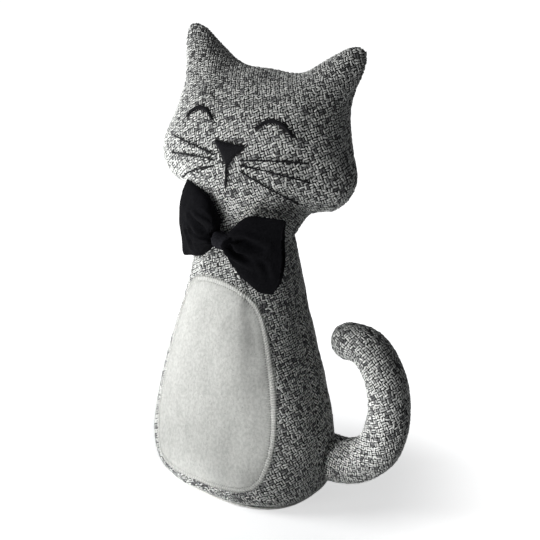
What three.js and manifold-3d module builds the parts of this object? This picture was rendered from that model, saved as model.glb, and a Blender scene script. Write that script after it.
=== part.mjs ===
// A sitting cat door stop of stuffed tweed, with a cloth belly patch, a bow tie and a curled tail.
// Millimetres, +Z up. The cat faces -Y. The origin is the centre of the flat base, on the floor.

import * as THREE from 'three';
import { LoftGeometry } from 'three/addons/geometries/LoftGeometry.js';
import { mergeVertices } from 'three/addons/utils/BufferGeometryUtils.js';
import Module from 'manifold-3d';

// Clearances
const SEAM_GAP = 0.3;        // between pieces that are sewn against each other
const WELD = 0.001;          // vertices closer than this are one

// Base panel
const BASE_THICKNESS = 1.8;
const BASE_EDGE_ROUND = 0.6;
const BASE_INSET = 1.0;      // how far the panel's edge lies inside the edge of the body

// Torso: height above the floor, half width and half depth at the places that give its outline
const BASE_EDGE = { height: BASE_THICKNESS + SEAM_GAP, halfWidth: 58.6, halfDepth: 41.9 };
const HEEL = { height: 8, halfWidth: 67.0, halfDepth: 48.4 };
const HIP = { height: 25, halfWidth: 72.8, halfDepth: 50.3 };
const THIGH = { height: 60, halfWidth: 70.9, halfDepth: 46.2 };
const BELLY = { height: 100, halfWidth: 61.2, halfDepth: 41.0 };
const CHEST = { height: 140, halfWidth: 49.2, halfDepth: 34.3 };
const NECK = { height: 205, halfWidth: 33.7, halfDepth: 23.5 };
const NECK_TOP = { height: 236, halfWidth: 24.0, halfDepth: 15.0 };   // hidden inside the head
const NECK_FORWARD = 1.7;    // the torso's axis leans this far forward by the neck
const BASE_SQUARENESS = 2.5; // superellipse exponents of the torso's section
const NECK_SQUARENESS = 2.1;

// Head: a cushion cut to the outline below, set on the neck and turned a little
const HEAD_X = 2.2;
const HEAD_Y = 5.8;
const HEAD_Z = 252.9;
const HEAD_TURN = 6.9;       // degrees, towards +X
const HEAD_LEAN = 10.0;      // degrees, the crown leans back
const HEAD_ROLL = 0.9;       // degrees, the crown tips towards +X
const FACE_DEPTH = 36.1;     // from the seam round the head forward to the face
const BACK_DEPTH = 29.1;     // from the same seam to the back of the head

// The right half of the head's outline seen from the front, from the chin up to the crown
const HEAD_OUTLINE = [
  [33.3, -62.7],             // throat, inside the neck
  [45.6, -41.1],             // jaw corner
  [67.4, -34.3],             // lower cheek
  [80.1, -14.1],             // cheek
  [70.4, 12.4],              // temple
  [65.5, 34.8],              // foot of the ear, outside
  [72.7, 61.0],              // ear, outside
  [72.1, 74.7],              // ear tip
  [64.3, 76.7],              // ear tip, inside
  [53.9, 71.5],              // ear, inside
  [39.7, 61.1],              // foot of the ear, inside
  [27.4, 53.8],              // crown, side
];
const THROAT_HEIGHT = -66;
const CROWN_HEIGHT = 52.9;

// Tail: a bent tube in a plane across the cat, from inside the torso round to its blunt tip
const TAIL_Y = 20;
const TAIL_CENTRELINE = [
  [50, 31],
  [74, 31.5],
  [95, 39],
  [108.5, 53],
  [115, 75],
  [113.5, 96],
  [104.5, 115],
  [92.5, 123.8],
  [79, 124.2],
];
const TAIL_ROOT_RADIUS = 17.5;
const TAIL_END_RADIUS = 13.8;

// Belly patch
const PATCH_THICKNESS = 1.4;
const PATCH_X = 1.0;
const PATCH_TILT = 1.5;      // degrees, its lower corner on the cat's left rides higher

// The right half of the patch's outline seen from the front, from the bottom up to the top
const PATCH_OUTLINE = [
  [26, 14.4],
  [42, 17.5],
  [50.5, 26],
  [55, 43],
  [55.5, 61],
  [53.5, 80],
  [49.5, 100],
  [44, 120],
  [39.5, 134],
  [33, 149],
  [24, 157.5],
  [13, 162.3],
];
const PATCH_BOTTOM = 14.0;
const PATCH_TOP = 163.5;

// Bow tie
const BOW_X = 4.9;
const BOW_Z = 191.5;
const BOW_TILT = 9;          // degrees, the cat's left wing hangs lower
const BOW_LEAN = 8;          // degrees, the top edge is pushed forward by the chin
const BOW_HALF_SPAN = 49.2;
const BOW_SWEEP = 8;         // the tips lie this far behind the knot
const BOW_EDGE_HALF_THICKNESS = 1.5;
const BOW_FRONT_PUFF = 4.2;  // what the wings bulge forward beyond an even taper
const BOW_PUFF_SKEW = 0.6;   // below 1 the wings are fullest near the knot
const BOW_BACK_PUFF = 1.2;   // and what they bulge back, towards the neck
const PLEAT_DEPTH = 3.0;
const PLEAT_PITCH = 0.5;     // share of the wing's half height from one fold to the next
const PLEAT_REACH = 15;      // the folds fade out over this distance from the knot
const PLEAT_START = 0.125;   // share of the wing over which the folds set in beside the knot
const PLEAT_EDGE = 0.33;     // share of the thickness over which they die away at the edges
const PLEAT_SPREAD = 0.6;    // share of the half height that the folds keep to
const PLEAT_SHIFT = 0.05;    // the deepest fold lies this share above the middle
const BOW_BOXINESS = 0.7;    // below 1 the wing's section is flatter than an oval
const BOXINESS_START = 0.25; // share of the wing over which it gets there from the round pinch
const KNOT_WIDTH = 13;
const KNOT_HALF_HEIGHT = 6.0;
const KNOT_HALF_DEPTH = 5.4;
const KNOT_BAND = 1.4;
const KNOT_ROUND = 0.5;
const BOW_PINCH = KNOT_WIDTH / 2 + SEAM_GAP;   // the cloth is held this far to each side

// Each wing: half heights at the tip above and below the middle, how fast they are reached
// from the knot, and how far the corners fall short of the middle of the outer edge
const LEFT_WING = { top: 31, topReach: 8, bottom: 26, bottomReach: 11, cornerCut: 0.12 };
const RIGHT_WING = { top: 29.5, topReach: 3.5, bottom: 29, bottomReach: 14, cornerCut: 0.14 };

// Embroidery on the face
const STITCH_HEIGHT = 0.9;
const STITCH_GAP = 0.35;
const EYE_INNER = [18.2, 13.9];
const EYE_OUTER = [43.3, 12.2];
const EYE_TOP = 20.6;
const EYE_LINE = 2.8;
const NOSE_HALF_WIDTH = 11.5;
const NOSE_TOP = 0.5;
const NOSE_TIP = -15.1;
const MOUTH_BOTTOM = -30.1;
const MOUTH_LINE = 1.5;
const MOUTH_WAVER = 0.5;
const WHISKER_LINE = 1.1;
const WHISKER_BOW = 0.8;     // how far the middle of a whisker bends up
const UPPER_WHISKER = [[11.0, -9.3], [54.8, -3.4]];      // inner end and outer end
const MIDDLE_WHISKER = [[11.0, -12.4], [56.8, -15.6]];
const LOWER_WHISKER = [[10.9, -16.4], [48.4, -31.4]];
const LINE_TAPER = 0.3;      // share by which a stitched line narrows at its ends
const EYE_TAPER = 0.6;
const NOSE_FLANK = [0.55, 0.42];   // shares of the half width and of the tip's depth
const NOSE_CORNER = 0.9;           // the top edge spans this share of the width
const NOSE_CORNER_DROP = 1;

// Fineness of the faceted surfaces
const TORSO_LEVELS = 24;
const TORSO_CROWDING = 1.3;  // above 1 the levels lie closer together at the foot
const TORSO_SIDES = 56;
const HEAD_OUTLINE_POINTS = 84;
const HEAD_RINGS = 10;
const MEMBRANE_PASSES = 400;
const MEMBRANE_RELAXATION = 1.7;
const TAIL_STEPS = 30;
const TAIL_SIDES = 20;
const TAIL_CAP_STEPS = 5;
const BOW_STEPS = 14;        // from the knot out to each tip
const BOW_CROWDING = 1.25;   // above 1 the steps lie closer together at the knot
const BOW_LOOP = 44;
const EYE_STEPS = 10;
const LINE_STEPS = 6;
const KNOT_CURVE_STEPS = 12;
const PATCH_POINTS_PER_STEP = 4;
const CUT_DEPTH = 120;       // long enough to reach right through what is cut

const manifoldLibrary = await Module();
manifoldLibrary.setup();

function toSolid(geometry) {
  const bare = new THREE.BufferGeometry();
  bare.setAttribute('position', geometry.getAttribute('position'));
  bare.setIndex(geometry.getIndex());
  const merged = mergeVertices(bare, WELD);
  return new manifoldLibrary.Manifold(new manifoldLibrary.Mesh({
    numProp: 3,
    vertProperties: new Float32Array(merged.attributes.position.array),
    triVerts: new Uint32Array(merged.index.array),
  }));
}

function toGeometry(solid) {
  const mesh = solid.getMesh();
  const geometry = new THREE.BufferGeometry();
  geometry.setAttribute('position', new THREE.BufferAttribute(mesh.vertProperties, 3));
  geometry.setIndex(new THREE.BufferAttribute(mesh.triVerts, 1));
  geometry.computeVertexNormals();
  return geometry;
}

// A smooth curve through stations at uneven heights: value and slope follow the neighbours
function smoothAt(heights, values, z) {
  const last = heights.length - 1;
  let i = 0;
  while (i < last - 1 && z > heights[i + 1]) i += 1;
  const slopeAt = (k) => {
    const a = Math.max(k - 1, 0);
    const b = Math.min(k + 1, last);
    return (values[b] - values[a]) / (heights[b] - heights[a]);
  };
  const step = heights[i + 1] - heights[i];
  const t = (z - heights[i]) / step;
  const t2 = t * t;
  const t3 = t2 * t;
  return (2 * t3 - 3 * t2 + 1) * values[i] + (t3 - 2 * t2 + t) * step * slopeAt(i)
    + (3 * t2 - 2 * t3) * values[i + 1] + (t3 - t2) * step * slopeAt(i + 1);
}

const TORSO_STATIONS = [BASE_EDGE, HEEL, HIP, THIGH, BELLY, CHEST, NECK, NECK_TOP];
const STATION_HEIGHTS = TORSO_STATIONS.map((station) => station.height);

// The torso's section at a height: half width, half depth, squareness and forward shift
function torsoSectionAt(z) {
  const rise = Math.min(z / NECK.height, 1);
  return {
    halfWidth: smoothAt(STATION_HEIGHTS, TORSO_STATIONS.map((station) => station.halfWidth), z),
    halfDepth: smoothAt(STATION_HEIGHTS, TORSO_STATIONS.map((station) => station.halfDepth), z),
    squareness: THREE.MathUtils.lerp(BASE_SQUARENESS, NECK_SQUARENESS, rise),
    forward: NECK_FORWARD * z / NECK.height,
  };
}

function superellipsePoint(halfWidth, halfDepth, squareness, angle) {
  const c = Math.cos(angle);
  const s = Math.sin(angle);
  const r = (Math.abs(c) ** squareness + Math.abs(s) ** squareness) ** (-1 / squareness);
  return new THREE.Vector2(halfWidth * r * c, halfDepth * r * s);
}

// The front of the torso at a place seen from the front
function torsoFront(x, z) {
  const section = torsoSectionAt(z);
  const n = section.squareness;
  const across = Math.min(Math.abs(x) / section.halfWidth, 1);
  return -section.forward - section.halfDepth * (1 - across ** n) ** (1 / n);
}

// The stuffed torso, grown by an offset all round
function torsoSolid(offset) {
  const sections = [];
  for (let level = 0; level <= TORSO_LEVELS; level += 1) {
    const rise = (level / TORSO_LEVELS) ** TORSO_CROWDING;
    const z = THREE.MathUtils.lerp(BASE_EDGE.height, NECK_TOP.height, rise);
    const section = torsoSectionAt(z);
    const ring = [];
    for (let side = 0; side < TORSO_SIDES; side += 1) {
      const angle = 2 * Math.PI * side / TORSO_SIDES;
      const p = superellipsePoint(
        section.halfWidth + offset, section.halfDepth + offset, section.squareness, angle);
      ring.push(new THREE.Vector3(p.x, p.y - section.forward, z));
    }
    sections.push(ring);
  }
  return toSolid(new LoftGeometry(sections, { capStart: true, capEnd: true }));
}

// Mirrors a right half outline into a closed smooth curve that starts at the bottom
function mirroredOutline(halfPoints, bottom, top) {
  const right = halfPoints.filter(([x]) => x > 0);
  const left = right.map(([x, z]) => [-x, z]).reverse();
  const points = [[0, bottom], ...right, [0, top], ...left];
  const vectors = points.map(([x, z]) => new THREE.Vector3(x, z, 0));
  return new THREE.CatmullRomCurve3(vectors, true, 'centripetal');
}

// Rings of places that fill an outline, from its centre out to the outline itself
function ringPlaces(rim, rings) {
  const places = [new THREE.Vector2(0, 0)];
  for (let ring = 1; ring <= rings; ring += 1) {
    const share = Math.sin(0.5 * Math.PI * ring / rings);
    rim.forEach((p) => places.push(new THREE.Vector2(p.x * share, p.y * share)));
  }
  return places;
}

// The triangles between those rings, as triples of indices
function ringTriangles(count, rings) {
  const triangles = [];
  for (let i = 0; i < count; i += 1) {
    const next = (i + 1) % count;
    triangles.push([0, 1 + i, 1 + next]);
    for (let ring = 1; ring < rings; ring += 1) {
      const inner = 1 + (ring - 1) * count;
      const outer = inner + count;
      triangles.push([inner + i, outer + i, outer + next], [inner + i, outer + next, inner + next]);
    }
  }
  return triangles;
}

// How full a cushion is at each place, from 0 at its seam to 1: its skin takes the form of a
// membrane that is held at the outline and pushed evenly from inside
function cushionFullness(places, triangles, fixedFrom) {
  const links = places.map(() => []);
  const area = places.map(() => 0);
  for (const corners of triangles) {
    const [a, b, c] = corners.map((index) => places[index]);
    const twice = Math.abs((b.x - a.x) * (c.y - a.y) - (b.y - a.y) * (c.x - a.x));
    for (let k = 0; k < 3; k += 1) {
      const [tip, from, to] = [corners[k], corners[(k + 1) % 3], corners[(k + 2) % 3]];
      const one = places[from].clone().sub(places[tip]);
      const two = places[to].clone().sub(places[tip]);
      const weight = one.dot(two) / (2 * twice);
      links[from].push([to, weight]);
      links[to].push([from, weight]);
      area[tip] += twice / 6;
    }
  }
  const height = places.map(() => 0);
  for (let pass = 0; pass < MEMBRANE_PASSES; pass += 1) {
    for (let i = 0; i < fixedFrom; i += 1) {
      let pull = area[i];
      let stiffness = 0;
      for (const [other, weight] of links[i]) {
        pull += weight * height[other];
        stiffness += weight;
      }
      height[i] += MEMBRANE_RELAXATION * (pull / stiffness - height[i]);
    }
  }
  const peak = Math.max(...height);
  return height.map((value) => Math.sqrt(Math.max(value, 0) / peak));
}

const HEAD_RIM = mirroredOutline(HEAD_OUTLINE, THROAT_HEIGHT, CROWN_HEIGHT)
  .getSpacedPoints(HEAD_OUTLINE_POINTS).slice(0, -1);
const HEAD_PLACES = ringPlaces(HEAD_RIM, HEAD_RINGS);
const HEAD_TRIANGLES = ringTriangles(HEAD_RIM.length, HEAD_RINGS);
const HEAD_SEAM_START = HEAD_PLACES.length - HEAD_RIM.length;
const HEAD_FULLNESS = cushionFullness(HEAD_PLACES, HEAD_TRIANGLES, HEAD_SEAM_START);

// The head as a cushion of a front and a back skin joined at the seam, in its own frame with
// the face to -Y, grown by an offset all round
function headGeometry(offset) {
  const positions = [];
  const skin = (side, depth) => {
    const grow = 1 + offset / CROWN_HEIGHT;
    HEAD_PLACES.forEach((place, index) => {
      const bulge = side * (depth + offset) * HEAD_FULLNESS[index];
      positions.push(place.x * grow, bulge, place.y * grow);
    });
  };
  skin(-1, FACE_DEPTH);
  skin(1, BACK_DEPTH);
  const back = HEAD_PLACES.length;
  const indices = HEAD_TRIANGLES.flatMap(([a, b, c]) => [a, b, c, back + a, back + c, back + b]);
  const geometry = new THREE.BufferGeometry();
  geometry.setAttribute('position', new THREE.Float32BufferAttribute(positions, 3));
  geometry.setIndex(indices);
  return geometry;
}

// Where the head sits: turned about the upright axis, leaning back, tipped sideways
function headMatrix() {
  const matrix = new THREE.Matrix4().makeTranslation(HEAD_X, HEAD_Y, HEAD_Z);
  matrix.multiply(new THREE.Matrix4().makeRotationZ(THREE.MathUtils.degToRad(HEAD_TURN)));
  matrix.multiply(new THREE.Matrix4().makeRotationX(THREE.MathUtils.degToRad(-HEAD_LEAN)));
  matrix.multiply(new THREE.Matrix4().makeRotationY(THREE.MathUtils.degToRad(HEAD_ROLL)));
  return matrix;
}

const HEAD_MATRIX = headMatrix();

function headSolid(offset) {
  return toSolid(headGeometry(offset).applyMatrix4(HEAD_MATRIX));
}

// Head and torso in one skin, grown by an offset
function bodySolid(offset) {
  return torsoSolid(offset).add(headSolid(offset));
}

// A prism of a shape drawn in X and Z, running from the plane y = 0 forward to -Y
function frontPrism(shape, curveSegments) {
  const geometry = new THREE.ExtrudeGeometry(shape, {
    depth: CUT_DEPTH,
    bevelEnabled: false,
    curveSegments,
  });
  return geometry.rotateX(Math.PI / 2);
}

function basePanelGeometry() {
  const points = [];
  const inset = BASE_INSET + BASE_EDGE_ROUND;
  for (let side = 0; side < TORSO_SIDES; side += 1) {
    points.push(superellipsePoint(BASE_EDGE.halfWidth - inset, BASE_EDGE.halfDepth - inset,
      BASE_SQUARENESS, 2 * Math.PI * side / TORSO_SIDES));
  }
  const geometry = new THREE.ExtrudeGeometry(new THREE.Shape(points), {
    depth: BASE_THICKNESS - 2 * BASE_EDGE_ROUND,
    bevelThickness: BASE_EDGE_ROUND,
    bevelSize: BASE_EDGE_ROUND,
    bevelSegments: 2,
  });
  return geometry.translate(0, 0, BASE_EDGE_ROUND);
}

// The tail's tube with a round blunt tip, its root cut to lie against the torso
function tailSolid() {
  const centreline = new THREE.CatmullRomCurve3(
    TAIL_CENTRELINE.map(([x, z]) => new THREE.Vector3(x, TAIL_Y, z)), false, 'centripetal');
  const across = new THREE.Vector3(0, 1, 0);
  const sections = [];
  const addRing = (centre, tangent, radius) => {
    const outward = new THREE.Vector3().crossVectors(across, tangent).normalize();
    const ring = [];
    for (let side = 0; side < TAIL_SIDES; side += 1) {
      const angle = 2 * Math.PI * side / TAIL_SIDES;
      ring.push(centre.clone()
        .addScaledVector(outward, radius * Math.cos(angle))
        .addScaledVector(across, radius * Math.sin(angle)));
    }
    sections.push(ring);
  };
  for (let step = 0; step <= TAIL_STEPS; step += 1) {
    const t = step / TAIL_STEPS;
    const radius = THREE.MathUtils.lerp(TAIL_ROOT_RADIUS, TAIL_END_RADIUS, t);
    addRing(centreline.getPointAt(t), centreline.getTangentAt(t), radius);
  }
  const end = centreline.getPointAt(1);
  const tangent = centreline.getTangentAt(1);
  for (let step = 1; step <= TAIL_CAP_STEPS; step += 1) {
    const angle = 0.5 * Math.PI * step / (TAIL_CAP_STEPS + 1);
    const centre = end.clone().addScaledVector(tangent, TAIL_END_RADIUS * Math.sin(angle));
    addRing(centre, tangent, TAIL_END_RADIUS * Math.cos(angle));
  }
  const tube = toSolid(new LoftGeometry(sections, { capStart: true, capEnd: true }));
  return tube.subtract(torsoSolid(SEAM_GAP));
}

// The belly patch: a thin layer over the front of the torso, cut to its outline
function patchSolid() {
  const outline = mirroredOutline(PATCH_OUTLINE, PATCH_BOTTOM, PATCH_TOP);
  const points = outline.getSpacedPoints(PATCH_POINTS_PER_STEP * PATCH_OUTLINE.length).slice(0, -1);
  const middle = new THREE.Vector2(0, (PATCH_BOTTOM + PATCH_TOP) / 2);
  const tilt = THREE.MathUtils.degToRad(PATCH_TILT);
  const shape = new THREE.Shape(points.map((p) => new THREE.Vector2(p.x, p.y)
    .rotateAround(middle, tilt).add(new THREE.Vector2(PATCH_X, 0))));
  const layer = torsoSolid(SEAM_GAP + PATCH_THICKNESS).subtract(torsoSolid(SEAM_GAP));
  return layer.intersect(toSolid(frontPrism(shape, 1)));
}

// Where the bow sits: its knot against the front of the neck, tilted and leaning forward
const KNOT_Y = torsoFront(BOW_X, BOW_Z) - SEAM_GAP - KNOT_HALF_DEPTH;

function placeBow(geometry) {
  return geometry
    .rotateX(THREE.MathUtils.degToRad(BOW_LEAN))
    .rotateY(THREE.MathUtils.degToRad(BOW_TILT))
    .translate(BOW_X, KNOT_Y, BOW_Z);
}

// A half height of the bow's cloth, some way out from the knot: held by the band, then fanning out
function fanned(pinch, tip, reach, beyond) {
  return pinch + (tip - pinch) * (1 - Math.exp(-beyond / reach));
}

// The bow cloth's loop at a distance along its span, which is negative on the cat's right
function bowLoop(along) {
  const wing = along > 0 ? LEFT_WING : RIGHT_WING;
  const beyond = Math.abs(along) - BOW_PINCH;
  const out = beyond / (BOW_HALF_SPAN - BOW_PINCH);
  const pinchHeight = KNOT_HALF_HEIGHT - KNOT_BAND - SEAM_GAP;
  const pinchDepth = KNOT_HALF_DEPTH - KNOT_BAND - SEAM_GAP;
  const top = fanned(pinchHeight, wing.top, wing.topReach, beyond);
  const bottom = fanned(pinchHeight, wing.bottom, wing.bottomReach, beyond);
  const even = THREE.MathUtils.lerp(pinchDepth, BOW_EDGE_HALF_THICKNESS, out);
  const puffed = Math.sin(Math.PI * out ** BOW_PUFF_SKEW);
  const boxiness = THREE.MathUtils.lerp(1, BOW_BOXINESS, Math.min(out / BOXINESS_START, 1));
  const foldDepth = PLEAT_DEPTH * Math.min(out / PLEAT_START, 1) * Math.exp(-beyond / PLEAT_REACH);
  const loop = [];
  for (let i = 0; i < BOW_LOOP; i += 1) {
    const angle = 2 * Math.PI * i / BOW_LOOP;
    const v = Math.cos(angle);
    const u = Math.sin(angle);
    const halfThickness = even + puffed * (u > 0 ? BOW_FRONT_PUFF : BOW_BACK_PUFF);
    const thickness = Math.sign(u) * Math.abs(u) ** boxiness * halfThickness;
    const fold = foldDepth * Math.cos(2 * Math.PI * (v - PLEAT_SHIFT) / PLEAT_PITCH)
      * Math.exp(-((v / PLEAT_SPREAD) ** 2)) * Math.min(1, Math.abs(u) / PLEAT_EDGE);
    const x = along * (1 - wing.cornerCut * v * v * out);
    const y = BOW_SWEEP * (along / BOW_HALF_SPAN) ** 2 + fold - thickness;
    loop.push(new THREE.Vector3(x, y, v * (v > 0 ? top : bottom)));
  }
  return loop;
}

// One folded cloth pinched in the middle, with pleats that run out from the knot into both wings
function bowClothSolid() {
  const distances = [];
  for (let step = 0; step <= BOW_STEPS; step += 1) {
    const share = (step / BOW_STEPS) ** BOW_CROWDING;
    distances.push(THREE.MathUtils.lerp(BOW_PINCH, BOW_HALF_SPAN, share));
  }
  const stations = [...distances.map((distance) => -distance).reverse(), ...distances];
  const cloth = new LoftGeometry(stations.map(bowLoop), { capStart: true, capEnd: true });
  return toSolid(placeBow(cloth)).subtract(bodySolid(SEAM_GAP));
}

// The band round the pinch: an oval ring with softened edges
function bowKnotSolid() {
  const ring = new THREE.Shape();
  ring.absellipse(0, 0, KNOT_HALF_HEIGHT - KNOT_ROUND, KNOT_HALF_DEPTH - KNOT_ROUND, 0, 2 * Math.PI);
  const hole = new THREE.Path();
  const inside = KNOT_BAND - KNOT_ROUND;
  hole.absellipse(0, 0, KNOT_HALF_HEIGHT - inside, KNOT_HALF_DEPTH - inside, 0, 2 * Math.PI);
  ring.holes.push(hole);
  const geometry = new THREE.ExtrudeGeometry(ring, {
    depth: KNOT_WIDTH - 2 * KNOT_ROUND,
    bevelThickness: KNOT_ROUND,
    bevelSize: KNOT_ROUND,
    bevelSegments: 1,
    curveSegments: KNOT_CURVE_STEPS,
  });
  geometry.translate(0, 0, KNOT_ROUND - KNOT_WIDTH / 2).rotateY(Math.PI / 2);
  return toSolid(placeBow(geometry)).subtract(bodySolid(SEAM_GAP));
}

// A layer of stitches on the face, cut to a shape drawn in the head's own X and Z
const FACE_LAYER = toSolid(headGeometry(0).translate(0, -STITCH_GAP - STITCH_HEIGHT, 0))
  .subtract(toSolid(headGeometry(0).translate(0, -STITCH_GAP, 0)));

function stitchedGeometry(shape) {
  return toGeometry(FACE_LAYER.intersect(toSolid(frontPrism(shape, 1))));
}

// A narrow shape along a bent line, widest in the middle if it tapers
function lineShape(start, middle, end, width, taper, steps) {
  const line = new THREE.QuadraticBezierCurve(
    new THREE.Vector2(...start), new THREE.Vector2(...middle), new THREE.Vector2(...end));
  const upper = [];
  const lower = [];
  for (let step = 0; step <= steps; step += 1) {
    const t = step / steps;
    const point = line.getPoint(t);
    const tangent = line.getTangent(t);
    const half = 0.5 * width * THREE.MathUtils.lerp(1, Math.sin(Math.PI * t), taper);
    const across = new THREE.Vector2(-tangent.y, tangent.x).multiplyScalar(half);
    upper.push(point.clone().add(across));
    lower.push(point.clone().sub(across));
  }
  return new THREE.Shape([...lower, ...upper.reverse()]);
}

// A closed eye, on the side of the face that the sign gives
function eyeShape(sign) {
  const middleX = (EYE_INNER[0] + EYE_OUTER[0]) / 2;
  const control = 2 * EYE_TOP - (EYE_INNER[1] + EYE_OUTER[1]) / 2;
  const ends = [[sign * EYE_INNER[0], EYE_INNER[1]], [sign * EYE_OUTER[0], EYE_OUTER[1]]];
  if (sign < 0) ends.reverse();
  return lineShape(ends[0], [sign * middleX, control], ends[1], EYE_LINE, EYE_TAPER, EYE_STEPS);
}

function noseShape() {
  const right = [
    [NOSE_FLANK[0] * NOSE_HALF_WIDTH, NOSE_FLANK[1] * NOSE_TIP],
    [NOSE_HALF_WIDTH, NOSE_TOP - NOSE_CORNER_DROP],
    [NOSE_CORNER * NOSE_HALF_WIDTH, NOSE_TOP],
  ];
  const left = right.map(([x, z]) => [-x, z]).reverse();
  return new THREE.Shape([[0, NOSE_TIP], ...right, ...left].map((p) => new THREE.Vector2(...p)));
}

function mouthShape() {
  const top = NOSE_TIP - SEAM_GAP;
  const bend = [2 * MOUTH_WAVER, (top + MOUTH_BOTTOM) / 2];
  return lineShape([0, MOUTH_BOTTOM], bend, [0, top], MOUTH_LINE, LINE_TAPER, LINE_STEPS);
}

function whiskerShape(whisker, sign) {
  const [inner, outer] = whisker;
  const middle = [sign * (inner[0] + outer[0]) / 2, (inner[1] + outer[1]) / 2 + 2 * WHISKER_BOW];
  const ends = [[sign * inner[0], inner[1]], [sign * outer[0], outer[1]]];
  if (sign < 0) ends.reverse();
  return lineShape(ends[0], middle, ends[1], WHISKER_LINE, LINE_TAPER, LINE_STEPS);
}

// Colours and surfaces
const tweed = new THREE.MeshStandardMaterial({ color: 0x7d7d7b, roughness: 0.95, metalness: 0 });
const felt = new THREE.MeshStandardMaterial({ color: 0xd4d5cf, roughness: 0.95, metalness: 0 });
const cotton = new THREE.MeshStandardMaterial({ color: 0x17171a, roughness: 0.85, metalness: 0 });
const thread = new THREE.MeshStandardMaterial({ color: 0x141416, roughness: 0.6, metalness: 0 });
const baseCloth = new THREE.MeshStandardMaterial({ color: 0x55554f, roughness: 0.95, metalness: 0 });

const doorStop = new THREE.Group();

function addPart(name, geometry, material, parent = doorStop) {
  const mesh = new THREE.Mesh(geometry, material);
  mesh.name = name;
  parent.add(mesh);
}

addPart('base_panel', basePanelGeometry(), baseCloth);
addPart('stuffed_body', toGeometry(bodySolid(0)), tweed);
addPart('tail', toGeometry(tailSolid()), tweed);
addPart('belly_patch', toGeometry(patchSolid()), felt);
addPart('bow_cloth', toGeometry(bowClothSolid()), cotton);
addPart('bow_knot', toGeometry(bowKnotSolid()), cotton);

// The embroidery is drawn in the head's frame and placed with the head. Left is the cat's own, +X
const face = new THREE.Group();
face.applyMatrix4(HEAD_MATRIX);
doorStop.add(face);
addPart('nose', stitchedGeometry(noseShape()), thread, face);
addPart('mouth', stitchedGeometry(mouthShape()), thread, face);
for (const [side, sign] of [['left', 1], ['right', -1]]) {
  addPart(`eye_${side}`, stitchedGeometry(eyeShape(sign)), thread, face);
  addPart(`whisker_${side}_upper`, stitchedGeometry(whiskerShape(UPPER_WHISKER, sign)), thread, face);
  addPart(`whisker_${side}_middle`, stitchedGeometry(whiskerShape(MIDDLE_WHISKER, sign)), thread, face);
  addPart(`whisker_${side}_lower`, stitchedGeometry(whiskerShape(LOWER_WHISKER, sign)), thread, face);
}

export default doorStop;
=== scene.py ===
"""A cat door stop in marled tweed, with a felt patch, a cotton bow tie and an embroidered face.

Lengths are in metres unless a name says otherwise. X is the cat's left, the face looks to -Y.
"""

import math
from contextlib import contextmanager

import bmesh
import bpy
import numpy as np
from mathutils import Matrix, Vector, noise
from mathutils.bvhtree import BVHTree
from mathutils.kdtree import KDTree
from numpy.linalg import norm


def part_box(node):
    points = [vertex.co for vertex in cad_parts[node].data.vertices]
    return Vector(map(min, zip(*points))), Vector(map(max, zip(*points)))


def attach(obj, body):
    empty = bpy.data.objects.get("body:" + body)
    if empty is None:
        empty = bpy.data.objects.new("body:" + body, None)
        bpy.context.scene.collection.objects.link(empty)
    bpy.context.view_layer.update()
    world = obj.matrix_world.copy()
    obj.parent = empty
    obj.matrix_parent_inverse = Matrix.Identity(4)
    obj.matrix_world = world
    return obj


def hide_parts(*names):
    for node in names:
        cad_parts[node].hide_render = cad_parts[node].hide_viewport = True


MM = 0.001

# The head's own frame: the face looks to -Y in it, and its outline lies in the XZ plane
HEAD_CENTRE = (2.2 * MM, 5.8 * MM, 252.9 * MM)
HEAD_TURN, HEAD_LEAN, HEAD_ROLL = 6.9, -10.0, 0.9
NECK_HEIGHT = 205 * MM
NECK_HALF_WIDTH, NECK_HALF_DEPTH = 33.7 * MM, 23.5 * MM
CHEST_HEIGHT = 140 * MM
CHEST_HALF_WIDTH, CHEST_HALF_DEPTH = 49.2 * MM, 34.3 * MM
TAIL_PLANE, TAIL_BEND = 20 * MM, (84 * MM, 80 * MM)   # its middle plane, and X and Z it curls round
TAIL_ROOT = (66 * MM, 60 * MM)   # the sewn end lies below this X and this Z

# Stuffed skins
BODY_VOXEL, TAIL_VOXEL = 3.7 * MM, 3.2 * MM
HUG_DEPTH, HUG_REACH = 2 * MM, 14 * MM
SLACK = 1.6 * MM
BODY_SWELL, TAIL_SWELL, SINK = 1.2 * MM, 0.9 * MM, 0.3 * MM
SIMULATED_FRAMES = 20
CLOTH = {"quality": 6, "mass": 0.25, "tension_stiffness": 20, "compression_stiffness": 20,
         "bending_stiffness": 0.6, "use_pressure": True, "uniform_pressure_force": 4.0}
LUMP_HEIGHT, LUMP_WAVE = 0.6 * MM, 24 * MM
FOOT_SWELL, FOOT_HEIGHT = 2.0 * MM, 9 * MM
UNDERSIDE_HEIGHT, UNDERSIDE_NORMAL = 3.4 * MM, -0.93
SEAM_DEPTH, SEAM_WIDTH = 0.9 * MM, 1.7 * MM
PUCKER_DEPTH, PUCKER_WAVE = 0.35 * MM, 9 * MM
WRINKLE_DEPTH, WRINKLES = 0.8 * MM, 17   # on the inside of the tail's curl

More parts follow.
